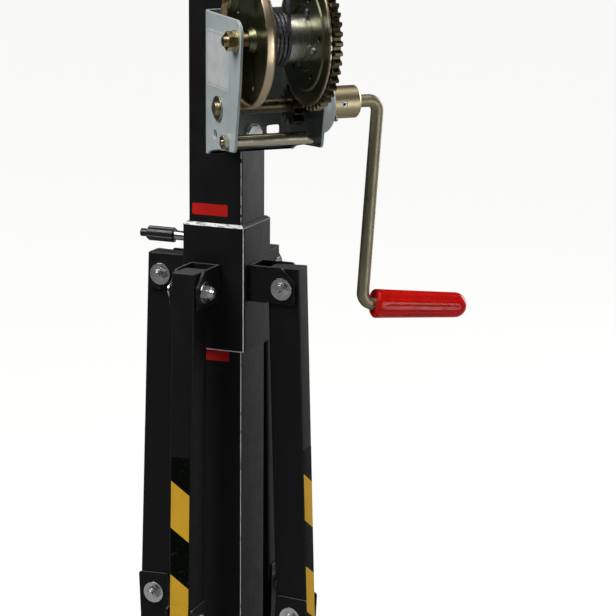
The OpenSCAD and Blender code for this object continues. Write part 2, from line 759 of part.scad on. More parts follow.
// U bracket for one leg, outer upper corners cut off
module leg_bracket() {
  face = sleeve_w / 2 + eps;
  tip = pivot_r + 14;
  difference() {
    union() {
      for (s = [-1, 1])
        translate([-leg_off + (s > 0 ? ear_in : -ear_out), 0, 0])
          rotate([90, 0, 90]) linear_extrude(3)
            polygon([[-face, pivot_z - 16], [-face, pivot_z + 22],
                     [15 - tip, pivot_z + 22], [-tip, pivot_z + 7],
                     [-tip, pivot_z - 16]]);
      translate([-leg_off - ear_out, -face - 3, pivot_z - 16])
        cube([2 * ear_out, 3, 38]);
    }
    translate([-leg_off, -pivot_r, pivot_z]) along_x(m8 / 2 + run, -40, 40);
  }
}

module leg_brackets() color(black)
  for (k = [0 : 3]) side(k) leg_bracket();

module leg_bolts() color(zinc)
  for (k = [0 : 3]) side(k) translate([-leg_off, -pivot_r, pivot_z])
    pivot_bolt(ear_out);

// Along the clamp's own axis, away from the left face of the mast
module clamp_line() translate([0, 0, clamp_z]) rotate([0, -90, 0]) children();

module clamp_nut() color(black) clamp_line() difference() {
  translate([0, 0, sleeve_w / 2 + eps])
    cylinder(d = 17 / cos(30), h = 10, $fn = 6);
  cylinder(r = 5 + run, h = 60);
}

module clamp_pad() color([0.72, 0.6, 0.3]) clamp_line()
  translate([0, 0, outer_w / 2 + 0.05]) cylinder(r = 4.4, h = 1.4);

module clamp_screw() color(zinc) clamp_line()
  translate([0, 0, outer_w / 2 + 1.5]) cylinder(r = 5, h = 36);

module clamp_knob() color(plastic) clamp_line() difference() {
  union() {
    translate([0, 0, 60]) linear_extrude(30) difference() {
      circle(r = 7.8);
      for (k = [0 : 5]) rotate(60 * k + 30) translate([11.2, 0])
        circle(r = 4.4, $fn = 32);
    }
    translate([0, 0, 89]) cylinder(r = 4.2, h = 10);
  }
  translate([0, 0, 50]) cylinder(r = 5 + eps, h = 17.6);
}

// ---------- legs and struts ----------

module at_leg(k) side(k) translate([-leg_off, -pivot_r, pivot_z])
  rotate([-leg_lean, 0, 0]) children();

module at_strut(k) side(k)
  translate([-leg_off, -foot_pivot_r, foot_pivot_z])
    rotate([strut_lean, 0, 0]) children();

foot_t = 8;
module leg(k) color(black) at_leg(k) difference() {
  translate([0, 0, foot_t - leg_l]) linear_extrude(leg_l - foot_t + 20.6)
    polygon(round_rect(leg_w, leg_d, 2.5));
  translate([0, 0, -leg_l]) linear_extrude(leg_l + 18.6)
    polygon(round_rect(leg_w - 2 * leg_t, leg_d - 2 * leg_t, 1));
  along_x(m8 / 2 + run, -40, 40);
  translate([0, 0, -strut_at]) along_x(4.2, -40, 40);
}

// Ribbed end plug with a rounded sole
module foot(k) color(plastic) at_leg(k) translate([0, 0, foot_t - leg_l]) {
  rotate([90, 0, 90]) translate([0, 0, -leg_w / 2]) linear_extrude(leg_w)
    polygon(concat(
      [[leg_d / 2, -eps], [-leg_d / 2, -eps]],
      arc(6 - leg_d / 2, 6 - foot_t, 6, 180, 270, 4),
      arc(leg_d / 2 - 6, 6 - foot_t, 6, 270, 360, 4)));
  translate([0, 0, -1]) linear_extrude(26) difference() {
    polygon(round_rect(leg_w - 2 * leg_t - 0.1, leg_d - 2 * leg_t - 0.1, 1));
    polygon(round_rect(leg_w - 2 * leg_t - 5, leg_d - 2 * leg_t - 5, 1));
  }
}

strut_past = 22;      // strut above its upper bolt
module strut(k) color(black) at_strut(k) difference() {
  top_r = 3;
  union() {
    for (s = [-1, 1]) translate([s > 0 ? strut_in : -strut_out, 0, 0])
      rotate([90, 0, 90]) linear_extrude(strut_t)
        polygon(concat(
          arc(strut_d / 2 - top_r, strut_l + strut_past - top_r, top_r, 0, 90),
          arc(top_r - strut_d / 2, strut_l + strut_past - top_r, top_r, 90,
              180),
          [[-strut_d / 2, 30]], arc(0, 0, 15, 180, 360, 12),
          [[strut_d / 2, 30]]));
    translate([0.5 - strut_out, strut_d / 2 - strut_t, 34])
      cube([2 * strut_out - 1, strut_t, 186]);
  }
  along_x(m8 / 2 + run, -40, 40);
  translate([0, 0, strut_l]) along_x(m8 / 2 + run, -40, 40);
}

// The bolt through leg and strut is drawn as its two ends on the strut
module strut_bolt(k) color(zinc) at_strut(k) translate([0, 0, strut_l]) {
  bolt_ends(strut_out);
  along_x(m8 / 2, -strut_out - 1, -strut_in - 0.3);
  along_x(m8 / 2, strut_in + 0.3, strut_out + 1);
}

// ---------- inner mast ----------

inner_low = 20;
inner_high = outer_top + inner_proud;

module inner_mast() color(black)
  translate([0, 0, inner_low])
    rect_tube(inner_w, inner_w, mast_t, inner_high - inner_low, corner_r);

module inner_shoe() color(plastic) difference() {
  translate([0, 0, inner_low - 6]) linear_extrude(46)
    polygon(round_rect(outer_w - 2 * mast_t - 0.4,
                       outer_w - 2 * mast_t - 0.4, 1.6));
  translate([0, 0, inner_low - eps]) linear_extrude(60)
    polygon(round_rect(inner_w + 2 * eps, inner_w + 2 * eps, corner_r));
  // the wire's corner
  corner() translate([-6, -60, inner_low]) cube([12, 35, 60]);
}

module top_spigot() color(zinc) difference() {
  union() {
    translate([0, 0, inner_high + eps]) linear_extrude(6)
      polygon(round_rect(inner_w, inner_w, corner_r));
    translate([0, 0, inner_high + 5.9]) rotate_extrude()
      polygon([[0, 0], [spigot_d / 2, 0], [spigot_d / 2, spigot_l - 2],
               [spigot_d / 2 - 2, spigot_l], [0, spigot_l]]);
    translate([0, 0, inner_high - 19]) linear_extrude(20)
      polygon(round_rect(inner_w - 2 * mast_t - 0.1,
                         inner_w - 2 * mast_t - 0.1, 1));
  }
  translate([0, 0, inner_high - 20]) linear_extrude(24)
    polygon(round_rect(inner_w - 2 * mast_t - 8,
                       inner_w - 2 * mast_t - 8, 1));
}

outer_mast();
mast_foot();
strut_brackets();
strut_bolts();
head_glide();
head_bracket();
pulley_axle();
winch_bracket();
winch_bolts();
winch_frame();
drum_axle();
axle_spacers();
tie_rod();
pinion_cap();
brake_cover();
cover_screws();
pawl_pin();
hoist_wire();
lift_wire();
head_pulley();
drum_core();
drum_flange_left();
drum_flange_right();
drum_gear();
flange_screws();
wire_coil();
pinion_shaft();
ratchet_wheel();
friction_discs();
crank_hub();
crank_arm();
hub_screw();
ratchet_pawl();
grip();
sleeve();
leg_brackets();
leg_bolts();
clamp_nut();
clamp_pad();
clamp_screw();
clamp_knob();
leg(0);  // leg_front
leg(1);  // leg_right
leg(2);  // leg_back
leg(3);  // leg_left
foot(0);  // foot_front
foot(1);  // foot_right
foot(2);  // foot_back
foot(3);  // foot_left
strut(0);  // strut_front
strut(1);  // strut_right
strut(2);  // strut_back
strut(3);  // strut_left
strut_bolt(0);  // bolt_front
strut_bolt(1);  // bolt_right
strut_bolt(2);  // bolt_back
strut_bolt(3);  // bolt_left
inner_mast();
inner_shoe();
top_spigot();
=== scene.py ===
"""Looks of the wind-up lifting stand: a finish for every CAD node, the wire rope, the
grip, the marking tape, the red bars, the blank label, and the studio that shows them."""

import json
import math

import bpy
from mathutils import Matrix, Vector


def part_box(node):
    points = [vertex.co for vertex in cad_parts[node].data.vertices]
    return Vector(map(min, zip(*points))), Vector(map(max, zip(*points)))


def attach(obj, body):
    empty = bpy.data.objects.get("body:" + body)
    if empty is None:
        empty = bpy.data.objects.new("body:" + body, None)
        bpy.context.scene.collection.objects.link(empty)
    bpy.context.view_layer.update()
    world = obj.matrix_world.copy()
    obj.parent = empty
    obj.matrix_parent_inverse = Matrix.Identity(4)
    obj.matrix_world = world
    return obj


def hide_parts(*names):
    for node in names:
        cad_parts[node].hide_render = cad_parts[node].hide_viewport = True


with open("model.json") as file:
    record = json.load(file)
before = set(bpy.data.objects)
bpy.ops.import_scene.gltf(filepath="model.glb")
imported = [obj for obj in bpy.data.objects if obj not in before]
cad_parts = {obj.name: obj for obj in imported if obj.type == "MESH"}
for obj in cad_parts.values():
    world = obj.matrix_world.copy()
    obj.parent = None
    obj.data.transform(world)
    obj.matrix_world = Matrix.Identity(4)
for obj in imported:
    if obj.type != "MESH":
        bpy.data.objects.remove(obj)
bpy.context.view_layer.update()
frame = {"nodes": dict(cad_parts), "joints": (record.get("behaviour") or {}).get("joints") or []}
nodes = frame["nodes"]
joints = {joint["name"]: joint for joint in frame["joints"]}

MM = 0.001
X = Vector((1, 0, 0))
Z = Vector((0, 0, 1))
ALONG = Vector((1, 1, 0)).normalized()  # the winch's axles, left cheek to crank
AWAY = Vector((1, -1, 0)).normalized()  # from the mast towards the winch
SIDES = ("front", "right", "back", "left")

# ---------- places taken from the frame ----------


def joint_place(name):
    return Vector(joints[name]["pos_m"])


def extent(node, origin, axis):
    """Nearest and farthest distance of a CAD node from origin along axis."""
    reach = [(vertex.co - origin).dot(axis) for vertex in nodes[node].data.vertices]
    return min(reach), max(reach)


def girth(node, origin, axis):
    """Largest distance of a CAD node from the line through origin along axis."""
    reach = [(vertex.co - origin).cross(axis).length for vertex in nodes[node].data.vertices]
    return max(reach)


LIP_H = 3 * MM  # height of the sleeve's leaning lip
CHEEK_IN = 44 * MM  # inner face of a winch cheek, from the middle of the winch
sleeve_low, sleeve_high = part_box("sleeve")
sleeve_top = sleeve_high.z - LIP_H
drum = joint_place("drum_turn")
pinion = joint_place("crank_turn")
pulley = joint_place("pulley_turn")


# ---------- materials ----------


class Finish:
    """A principled material. Its helpers add nodes and return their outputs."""

    def __init__(self, name, **values):
        self.material = bpy.data.materials.new(name)
        self.material.use_nodes = True
        self.tree = self.material.node_tree
        self.shader = self.tree.nodes["Principled BSDF"]
        self.place = self.add("ShaderNodeTexCoord").outputs["Object"]
        self.set(**values)

    def add(self, kind, inputs=None, **settings):
        node = self.tree.nodes.new(kind)
        for key, value in settings.items():
            setattr(node, key, value)
        for key, value in (inputs or {}).items():
            self.feed(node.inputs[key], value)
        return node

    def feed(self, socket, value):
        if isinstance(value, bpy.types.NodeSocket):
            self.tree.links.new(value, socket)
        else:
            socket.default_value = value

    def set(self, **values):
        for key, value in values.items():
            socket = key.replace("_", " ").title().replace("Ior", "IOR")
            self.feed(self.shader.inputs[socket], value)

    def math(self, operation, a, b=0.0):
        node = self.add("ShaderNodeMath", {0: a, 1: b}, operation=operation)
        return node.outputs[0]

    def noise(self, scale, detail=2.0, stretch=(1, 1, 1)):
        place = self.add("ShaderNodeMapping", {"Vector": self.place, "Scale": stretch})
        inputs = {"Vector": place.outputs[0], "Scale": scale, "Detail": detail}
        return self.add("ShaderNodeTexNoise", inputs).outputs["Fac"]

    def band(self, value, low, high, to_low=0.0, to_high=1.0):
        """value from low to high becomes to_low to to_high, clamped and smooth."""
        inputs = {0: value, 1: low, 2: high, 3: to_low, 4: to_high}
        kind = "ShaderNodeMapRange"
        return self.add(kind, inputs, interpolation_type="SMOOTHSTEP").outputs[0]

    def mix(self, share, a, b):
        node = self.add("ShaderNodeMix", data_type="RGBA")
        self.feed(node.inputs[0], share)
        for socket, colour in ((node.inputs[6], a), (node.inputs[7], b)):
            solid = isinstance(colour, tuple)
            self.feed(socket, (*colour, 1.0) if solid else colour)
        return node.outputs[2]

    def dot(self, vector, direction):
        inputs = {0: vector, 1: direction}
        kind = "ShaderNodeVectorMath"
        return self.add(kind, inputs, operation="DOT_PRODUCT").outputs["Value"]

    def bump(self, height, distance):
        inputs = {"Height": height, "Distance": distance, "Strength": 1.0}
        return self.add("ShaderNodeBump", inputs).outputs[0]

    def edge(self, radius):
        """1 on sharp edges, 0 on flat faces."""
        kind = "ShaderNodeBevel"
        rounded = self.add(kind, {"Radius": radius}, samples=4).outputs[0]
        normal = self.add("ShaderNodeNewGeometry").outputs["Normal"]
        return self.band(self.dot(rounded, normal), 0.995, 0.8)

    def normal(self):
        """The face's direction, in the piece's own axes."""
        return self.add("ShaderNodeTexCoord").outputs["Normal"]

    def corner(self):
        """1 along a square tube's upright corners at the front right and back left."""
        normal = self.normal()
        parts = self.add("ShaderNodeSeparateXYZ", {0: normal})
        product = self.math("MULTIPLY", parts.outputs[0], parts.outputs[1])
        return self.band(product, -0.47, -0.488)

    def off_axis(self, origin, axis):
        """Distance from the line through origin along axis."""
        kind = "ShaderNodeVectorMath"
        inputs = {0: self.place, 1: tuple(origin)}
        shifted = self.add(kind, inputs, operation="SUBTRACT").outputs[0]
        inputs = {0: shifted, 1: tuple(axis)}
        crossed = self.add(kind, inputs, operation="CROSS_PRODUCT").outputs[0]
        return self.add(kind, {0: crossed}, operation="LENGTH").outputs["Value"]


def black_paint(name, corner_highlight=0.0, lip=False):
    """Satin black powder coat: orange peel, faint dust, edges worn and painted brighter as a
    highlight.

    corner_highlight is how bright the painted highlight on the upright corners is; lip paints
    the front of the sleeve's leaning lip and lower rim lighter: painted highlight and bare steel."""
    paint = Finish(name, specular_ior_level=0.22)
    dust = paint.band(paint.noise(7, 5), 0.35, 0.75)
    colour = paint.mix(dust, (0.0045, 0.0045, 0.0048), (0.0075, 0.0075, 0.0078))
    speck = paint.band(paint.noise(2400, 1), 0.3, 0.7)
    colour = paint.mix(paint.math("MULTIPLY", speck, 0.3), colour, (0.014, 0.014, 0.015))
    # edges brighter where chips fall: wear with a painted highlight
    chips = paint.band(paint.noise(330, 3, (1, 1, 0.3)), 0.5, 0.66)
    rubbed_and_highlit = paint.math("MULTIPLY", paint.edge(0.6 * MM), chips)
    rubbed_and_highlit = paint.math("MULTIPLY", rubbed_and_highlit, 0.6)
    height = paint.dot(paint.place, tuple(Z))
    # faces that look up painted lighter: painted light from above, with dust
    normal = paint.normal()
    upward = paint.dot(normal, tuple(Z))
    top_light_and_dust = paint.band(upward, 0.6, 0.9, 0.0, 0.8)
    colour = paint.mix(top_light_and_dust, colour, (0.1, 0.1, 0.1))
    if corner_highlight:
        # painted highlight along the upright corners: a speckled line, broken above the sleeve's
        # top
        above = paint.band(height, sleeve_top, sleeve_top + 5 * MM)
        gaps = paint.band(paint.noise(300, 2, (1, 1, 0.5)), 0.42, 0.5)
        solid = paint.band(paint.noise(120, 4, (1, 1, 0.6)), 0.35, 0.6, 0.45, 1.0)
        solid = paint.math("MULTIPLY", paint.math("SUBTRACT", 1.0, above), solid)
        line = paint.math("MULTIPLY", paint.corner(), paint.math("MAXIMUM", gaps, solid))
        line = paint.math("MULTIPLY", line, corner_highlight)
        rubbed_and_highlit = paint.math("MAXIMUM", rubbed_and_highlit, line)
    if lip:
        # painted highlight with bare steel: in patches on the front of the leaning lip, faintly
        # round the lip's top, and along the lower rim's front
        leaning = paint.band(upward, 0.5, 0.6)
        frontward = paint.dot(normal, (0, -1, 0))
        front = paint.band(frontward, 0.3, 0.4)
        patches = paint.band(paint.noise(150, 3, (1, 1, 4)), 0.38, 0.5, 0.35, 1.0)
        outer = paint.band(height, sleeve_top + 0.9 * MM, sleeve_top + 0.5 * MM, 0.0, 0.3)
        bare_and_highlit = paint.math("MAXIMUM", paint.math("MULTIPLY", front, patches), outer)
        bare_and_highlit = paint.math("MULTIPLY", leaning, bare_and_highlit)
        rim = paint.band(height, sleeve_low.z + 1.2 * MM, sleeve_low.z + 0.7 * MM)
        rim = paint.math("MULTIPLY", rim, paint.band(frontward, 0.5, 0.9))
        rubbed_and_highlit = paint.math("MAXIMUM", rubbed_and_highlit, paint.math("MAXIMUM", bare_and_highlit, rim))
    colour = paint.mix(rubbed_and_highlit, colour, (0.9, 0.9, 0.9))
    rough = paint.band(paint.noise(40, 3), 0.3, 0.7, 0.4, 0.52)
    peel = paint.bump(paint.noise(700, 2), 0.04 * MM)
    paint.set(base_color=colour, roughness=rough, normal=peel)
    return paint.material


def smooth_paint(name, light, dark):
    """Even sprayed paint with faint stains, darker between the cheeks with painted shade and
    grease.
    """
    paint = Finish(name, specular_ior_level=0.45)
    stains = paint.band(paint.noise(22, 5), 0.4, 0.7)
    colour = paint.mix(stains, light, dark)
    grime = paint.band(paint.noise(90, 4), 0.55, 0.75)
    grime = paint.math("MULTIPLY", grime, 0.35)
    colour = paint.mix(grime, colour, tuple(0.75 * c for c in dark))
    # painted shade with grease: between the cheeks, on faces that look neither outward nor up
    across = paint.dot(paint.place, tuple(ALONG))
    from_middle = paint.math("ABSOLUTE", across)
    shade_and_grease = paint.band(from_middle, CHEEK_IN + 0.4 * MM, CHEEK_IN, 0.0, 0.85)
    normal = paint.normal()
    outward = paint.math("MULTIPLY", paint.dot(normal, tuple(ALONG)), paint.math("SIGN", across))
    inward = paint.band(outward, 0.4, 0.1)
    level = paint.band(paint.dot(normal, tuple(Z)), 0.7, 0.4)
    shade_and_grease = paint.math("MULTIPLY", shade_and_grease, paint.math("MULTIPLY", inward, level))
    colour = paint.mix(shade_and_grease, colour, (0.035, 0.055, 0.045))
    # edges painted lighter: wear with a painted highlight
    edge_wear_and_shine = paint.math("MULTIPLY", paint.edge(0.6 * MM), 0.4)
    colour = paint.mix(edge_wear_and_shine, colour, tuple(min(1, 1.5 * c) for c in light))
    rough = paint.band(paint.noise(60, 3), 0.3, 0.7, 0.28, 0.42)
    peel = paint.bump(paint.noise(500, 2), 0.02 * MM)
    paint.set(base_color=colour, roughness=rough, normal=peel)
    return paint.material


def zinc(name, tones, rough=(0.24, 0.34), cloud=30, ring=None, rim=0.35):
    """Plated steel: its tone drifts between three colours in soft clouds.

    ring, given as (origin, axis, radius, tone), plates what lies beyond radius in
    another tone; rim is how bright the painted highlight on the edges is."""
    plate = Finish(name, metallic=1.0)
    # edges painted brighter: a painted highlight with some wear
    edge_wear_and_shine = plate.math("MULTIPLY", plate.edge(0.5 * MM), rim)
    first = plate.band(plate.noise(cloud, 2), 0.3, 0.7)
    second = plate.band(plate.noise(cloud * 2.3, 3), 0.45, 0.75)
    colour = plate.mix(first, tones[0], tones[1])
    colour = plate.mix(plate.math("MULTIPLY", second, 0.5), colour, tones[2])
    if ring:
        origin, axis, radius, tone = ring
        distance = plate.off_axis(origin, axis)
        outer = plate.band(distance, radius - 0.2 * MM, radius + 0.2 * MM)
        colour = plate.mix(outer, colour, tone)
    colour = plate.mix(edge_wear_and_shine, colour, tuple(min(0.95, 1.8 * c) for c in tones[0]))
    dull = plate.band(plate.noise(cloud * 5, 3), 0.3, 0.7, *rough)
    grain = plate.bump(plate.noise(900, 2), 0.006 * MM)
    plate.set(base_color=colour, roughness=dull, normal=grain)
    return plate.material


def turned_steel(name, tone, axis, origin):
    """Steel with fine grooves around axis, left by turning."""
    steel = Finish(name, metallic=1.0)
    along = steel.math("SUBTRACT", steel.dot(steel.place, tuple(axis)), origin.dot(axis))
    kind = "ShaderNodeTexNoise"
    inputs = {"W": along, "Scale": 1500, "Detail": 3.0}
    lines = steel.add(kind, inputs, noise_dimensions="1D").outputs["Fac"]
    inputs = {"W": along, "Scale": 120, "Detail": 2.0}
    broad = steel.add(kind, inputs, noise_dimensions="1D").outputs["Fac"]
    tint = steel.band(broad, 0.3, 0.7)
    colour = steel.mix(tint, tone, tuple(0.86 * c for c in tone))
    rough = steel.band(lines, 0.3, 0.7, 0.24, 0.34)
    steel.set(base_color=colour, roughness=rough, normal=steel.bump(lines, 0.008 * MM))
    return steel.material


def plastic(name, colour, rough, peel=0.02, shine=0.5):
    """Moulded plastic with a little flow shading."""
    body = Finish(name, specular_ior_level=shine)
    flow = body.band(body.noise(35, 3), 0.3, 0.7)
    shade = body.mix(flow, colour, tuple(0.8 * c for c in colour))
    scuffs = body.math("MULTIPLY", body.edge(0.5 * MM), 0.3)
    shade = body.mix(scuffs, shade, tuple(min(1.0, 2.0 * c + 0.03) for c in colour))
    dull = body.band(body.noise(120, 4), 0.35, 0.7, rough, rough + 0.12)
    body.set(base_color=shade, roughness=dull, normal=body.bump(body.noise(450, 3), peel * MM))
    return body.material


def wire_steel(name):
    """Greased wire rope: dark between the strands, brighter on their crowns."""
    rope = Finish(name, metallic=0.85)
    grease = rope.band(rope.noise(150, 4), 0.4, 0.65)
    colour = rope.mix(grease, (0.085, 0.087, 0.105), (0.2, 0.2, 0.22))
    fibres = rope.noise(2200, 2, (1, 1, 0.35))
    rope.set(base_color=colour, roughness=0.42, normal=rope.bump(fibres, 0.05 * MM))
    return rope.material


# Tones of plated steel: the main one, and two that it drifts to
GOLD = ((0.62, 0.5, 0.29), (0.54, 0.45, 0.26), (0.66, 0.47, 0.33))
HUB = ((0.6, 0.51, 0.31), (0.55, 0.48, 0.29), (0.62, 0.5, 0.33))
OLIVE = ((0.23, 0.235, 0.13), (0.18, 0.19, 0.11), (0.26, 0.235, 0.14))
TEETH = ((0.16, 0.13, 0.08), (0.11, 0.1, 0.06), (0.18, 0.13, 0.085))
KHAKI = ((0.42, 0.38, 0.25), (0.36, 0.33, 0.22), (0.44, 0.39, 0.27))
COPPER = ((0.66, 0.47, 0.36), (0.6, 0.43, 0.33), (0.68, 0.5, 0.4))
SILVER_GOLD = ((0.72, 0.66, 0.5), (0.66, 0.6, 0.44), (0.74, 0.64, 0.52))
CLEAR = ((0.5, 0.51, 0.52), (0.42, 0.43, 0.44), (0.58, 0.58, 0.59))
BOLT = ((0.86, 0.87, 0.88), (0.7, 0.71, 0.72), (0.93, 0.93, 0.94))
# Tones beyond a ring
DULL = (0.42, 0.42, 0.34)
CREAM = (0.72, 0.58, 0.4)

RIM_W = 3.2 * MM  # width of a drum flange's bright rim
CAP_BOSS = 6.8 * MM  # radius of the bright middle of the pinion's cap
flange_rim = girth("drum_flange_right", drum, ALONG) - RIM_W

mast_paint = black_paint("black_paint_mast", corner_highlight=1.0)
sleeve_paint = black_paint("black_paint_sleeve", corner_highlight=1.0, lip=True)
tube_paint = black_paint("black_paint")
grey_paint = smooth_paint("winch_grey", (0.5, 0.56, 0.56), (0.43, 0.49, 0.49))
clear_zinc = zinc("zinc_clear", CLEAR, (0.26, 0.36))
bolt_zinc = zinc("zinc_bolts", BOLT, (0.16, 0.26), rim=1.0)
gold_zinc = zinc("zinc_gold", GOLD)
hub_zinc = zinc("zinc_hub", HUB, (0.36, 0.44), 20)
teeth_zinc = zinc("zinc_teeth", TEETH, (0.26, 0.38))
# the flanges' dished faces take dark olive tones as a painted dark reflection, and beyond
# flange_rim their rims take cream as a painted highlight
olive_zinc = zinc("zinc_olive", OLIVE, (0.28, 0.36), 14, (drum, ALONG, flange_rim, CREAM))
cap_zinc = zinc("zinc_cap", HUB, (0.3, 0.4), 30, (pinion, ALONG, CAP_BOSS, DULL))
crank_zinc = zinc("zinc_khaki", KHAKI, (0.48, 0.56), 40)
copper_zinc = zinc("zinc_copper", COPPER)
rod_zinc = zinc("zinc_rod", SILVER_GOLD, (0.16, 0.24))
core_steel = turned_steel("turned_steel", (0.68, 0.68, 0.65), ALONG, drum)
brass = turned_steel("brass", (0.72, 0.5, 0.22), X, Vector())
wire = wire_steel("wire_rope")
black_plastic = plastic("black_plastic", (0.012, 0.012, 0.013), 0.3)
rubber = plastic("black_rubber", (0.016, 0.016, 0.016), 0.6, 0.06)
red_plastic = plastic("red_plastic", (0.92, 0.01, 0.006), 0.2, 0.01, 0.3)
friction = plastic("friction", (0.11, 0.085, 0.065), 0.75, 0.08)

BOLTS = ["strut_bolts", "winch_bolts", "leg_bolts"] + ["bolt_" + side for side in SIDES]

# What isn't listed is painted black
FINISHES = {
    mast_paint: ["outer_mast", "inner_mast"],
    sleeve_paint: ["sleeve"],
    grey_paint: ["winch_frame", "brake_cover"],
    olive_zinc: ["drum_flange_left", "drum_flange_right"],
    gold_zinc: ["drum_axle"],
    hub_zinc: ["crank_hub"],
    teeth_zinc: ["drum_gear", "pinion_shaft"],
    copper_zinc: ["axle_spacers"],
    rod_zinc: ["tie_rod"],
    cap_zinc: ["pinion_cap"],
    crank_zinc: ["crank_arm"],
    core_steel: ["drum_core", "ratchet_wheel", "ratchet_pawl", "pawl_pin"],
    wire: ["hoist_wire", "lift_wire", "wire_coil"],
    black_plastic: ["head_glide", "inner_shoe", "clamp_knob"],
    rubber: ["foot_" + side for side in SIDES],
    bolt_zinc: BOLTS,
    clear_zinc: [
        "pulley_axle",
        "cover_screws",
        "head_pulley",
        "flange_screws",
        "hub_screw",
        "clamp_screw",
        "top_spigot",
    ],
    brass: ["clamp_pad"],
    red_plastic: ["grip"],
    friction: ["friction_discs"],
}
finish_of = {name: finish for finish, names in FINISHES.items() for name in names}


# ---------- edges of the CAD nodes ----------

# Nodes by the width of their rounded edges; what isn't listed has DEFAULT_EDGE
EDGES = {
    0.0: ["outer_mast", "inner_mast", "lift_wire", "hoist_wire", "wire_coil", "grip", "crank_arm"],
    0.15 * MM: ["drum_gear", "pinion_shaft"] + BOLTS,
    0.5 * MM: ["winch_frame", "winch_bracket"],
}
DEFAULT_EDGE = 0.3 * MM
edge_of = {name: width for width, names in EDGES.items() for name in names}

SMOOTH_BELOW = math.radians(32)
FLAT_BELOW = math.radians(0.3)  # faces that meet at less are joined to one
SAME_PLACE = 0.005 * MM


def smoothing():
    """Node group: joins split vertices and shades smooth except at sharp edges."""
    group = bpy.data.node_groups.new("smoothing", "GeometryNodeTree")
    for direction in ("INPUT", "OUTPUT"):
        socket = {"in_out": direction, "socket_type": "NodeSocketGeometry"}
        group.interface.new_socket("Geometry", **socket)
    add = group.nodes.new
    link = group.links.new
    start = add("NodeGroupInput")
    end = add("NodeGroupOutput")
    merge = add("GeometryNodeMergeByDistance")
    merge.inputs["Distance"].default_value = SAME_PLACE
    forget = add("GeometryNodeRemoveAttribute")
    forget.inputs["Name"].default_value = "custom_normal"
    faces = add("GeometryNodeSetShadeSmooth")
    edges = add("GeometryNodeSetShadeSmooth")
    edges.domain = "EDGE"
    angle = add("GeometryNodeInputMeshEdgeAngle")
    flat = add("FunctionNodeCompare")
    flat.inputs[1].default_value = SMOOTH_BELOW
    flat.operation = "LESS_THAN"
    link(angle.outputs["Unsigned Angle"], flat.inputs[0])
    link(start.outputs[0], forget.inputs["Geometry"])
    link(forget.outputs["Geometry"], merge.inputs["Geometry"])
    link(merge.outputs["Geometry"], faces.inputs["Geometry"])
    link(faces.outputs["Geometry"], edges.inputs["Geometry"])
    link(flat.outputs["Result"], edges.inputs["Shade Smooth"])
    link(edges.outputs["Geometry"], end.inputs[0])
    return group


smooth_group = smoothing()


def soften(piece, width):
    """Smooth shading and, where width isn't zero, small rounded edges."""
    piece.modifiers.new("smoothing", "NODES").node_group = smooth_group
    if width:
        flatten = piece.modifiers.new("whole faces", "DECIMATE")
        flatten.decimate_type = "DISSOLVE"
        flatten.angle_limit = FLAT_BELOW
        bevel = piece.modifiers.new("rounded edges", "BEVEL")
        bevel.width = width
        bevel.segments = 2
        bevel.limit_method = "ANGLE"
        bevel.angle_limit = SMOOTH_BELOW
        bevel.use_clamp_overlap = False
        bevel.harden_normals = True


def paint_over(piece, finish):
    piece.data.materials.clear()
    piece.data.materials.append(finish)


for name, node in nodes.items():
    paint_over(node, finish_of.get(name, tube_paint))
    soften(node, edge_of.get(name, DEFAULT_EDGE))


# ---------- pieces built here ----------


def build(name, points, faces, finish, body):
    """A mesh piece that rides on a CAD body."""
    mesh = bpy.data.meshes.new(name)
    mesh.from_pydata([tuple(p) for p in points], [], faces)
    mesh.validate()
    mesh.update()
    piece = bpy.data.objects.new(name, mesh)
    bpy.context.scene.collection.objects.link(piece)
    paint_over(piece, finish)
    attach(piece, body)
    return piece


def tube_faces(rings, count, closed):
    """Quads between rings of count points each; closed joins the last to the first."""
    faces = []
    for i in range(rings if closed else rings - 1):
        a, b = i * count, (i + 1) % rings * count
        for j in range(count):
            k = (j + 1) % count
            faces.append((a + j, a + k, b + k, b + j))
    if not closed:
        faces.append(tuple(range(count))[::-1])
        faces.append(tuple((rings - 1) * count + j for j in range(count)))
    return faces


WIRE_R = 2 * MM
LAY = 26 * MM  # length in which a strand goes once round the rope
STEP = LAY / 20  # length between two sections of the rope
STRANDS = 6
GROOVE = 0.16  # depth of the grooves between strands, as a share of WIRE_R
ROUND = 24  # points round the rope
TURNS = 6  # on the drum

coil_low, coil_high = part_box("wire_coil")
coil_near, coil_far = extent("wire_coil", drum, ALONG)
coil_r = (coil_high.z - coil_low.z) / 2 - WIRE_R
coil_pitch = (coil_far - coil_near - 2 * WIRE_R) / (TURNS - 1)
last_turn = coil_far - WIRE_R
wrap_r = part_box("hoist_wire")[1].z - pulley.z - WIRE_R


def winch_point(b, z, a=0.0):
    """Place at distance b from the mast axis, height z and a along the axles."""
    return AWAY * b + Z * z + ALONG * a


def spread(start, end):
    """Evenly spaced lengths from start to end, about STEP apart."""
    count = max(2, round((end - start) / STEP))
    return [start + (end - start) * i / count for i in range(count + 1)]


def rope_ring(centre, tangent, binormal, twist):
    """One section of six-strand rope, turned by twist."""
    side = tangent.cross(binormal).normalized()
    ring = []
    for j in range(ROUND):
        angle = 2 * math.pi * j / ROUND
        lobe = abs(math.sin(STRANDS * angle / 2))
        radius = WIRE_R * (1 - GROOVE + GROOVE * math.sqrt(lobe))
        turn = angle + twist
        ring.append(centre + radius * (math.cos(turn) * side + math.sin(turn) * binormal))
    return ring


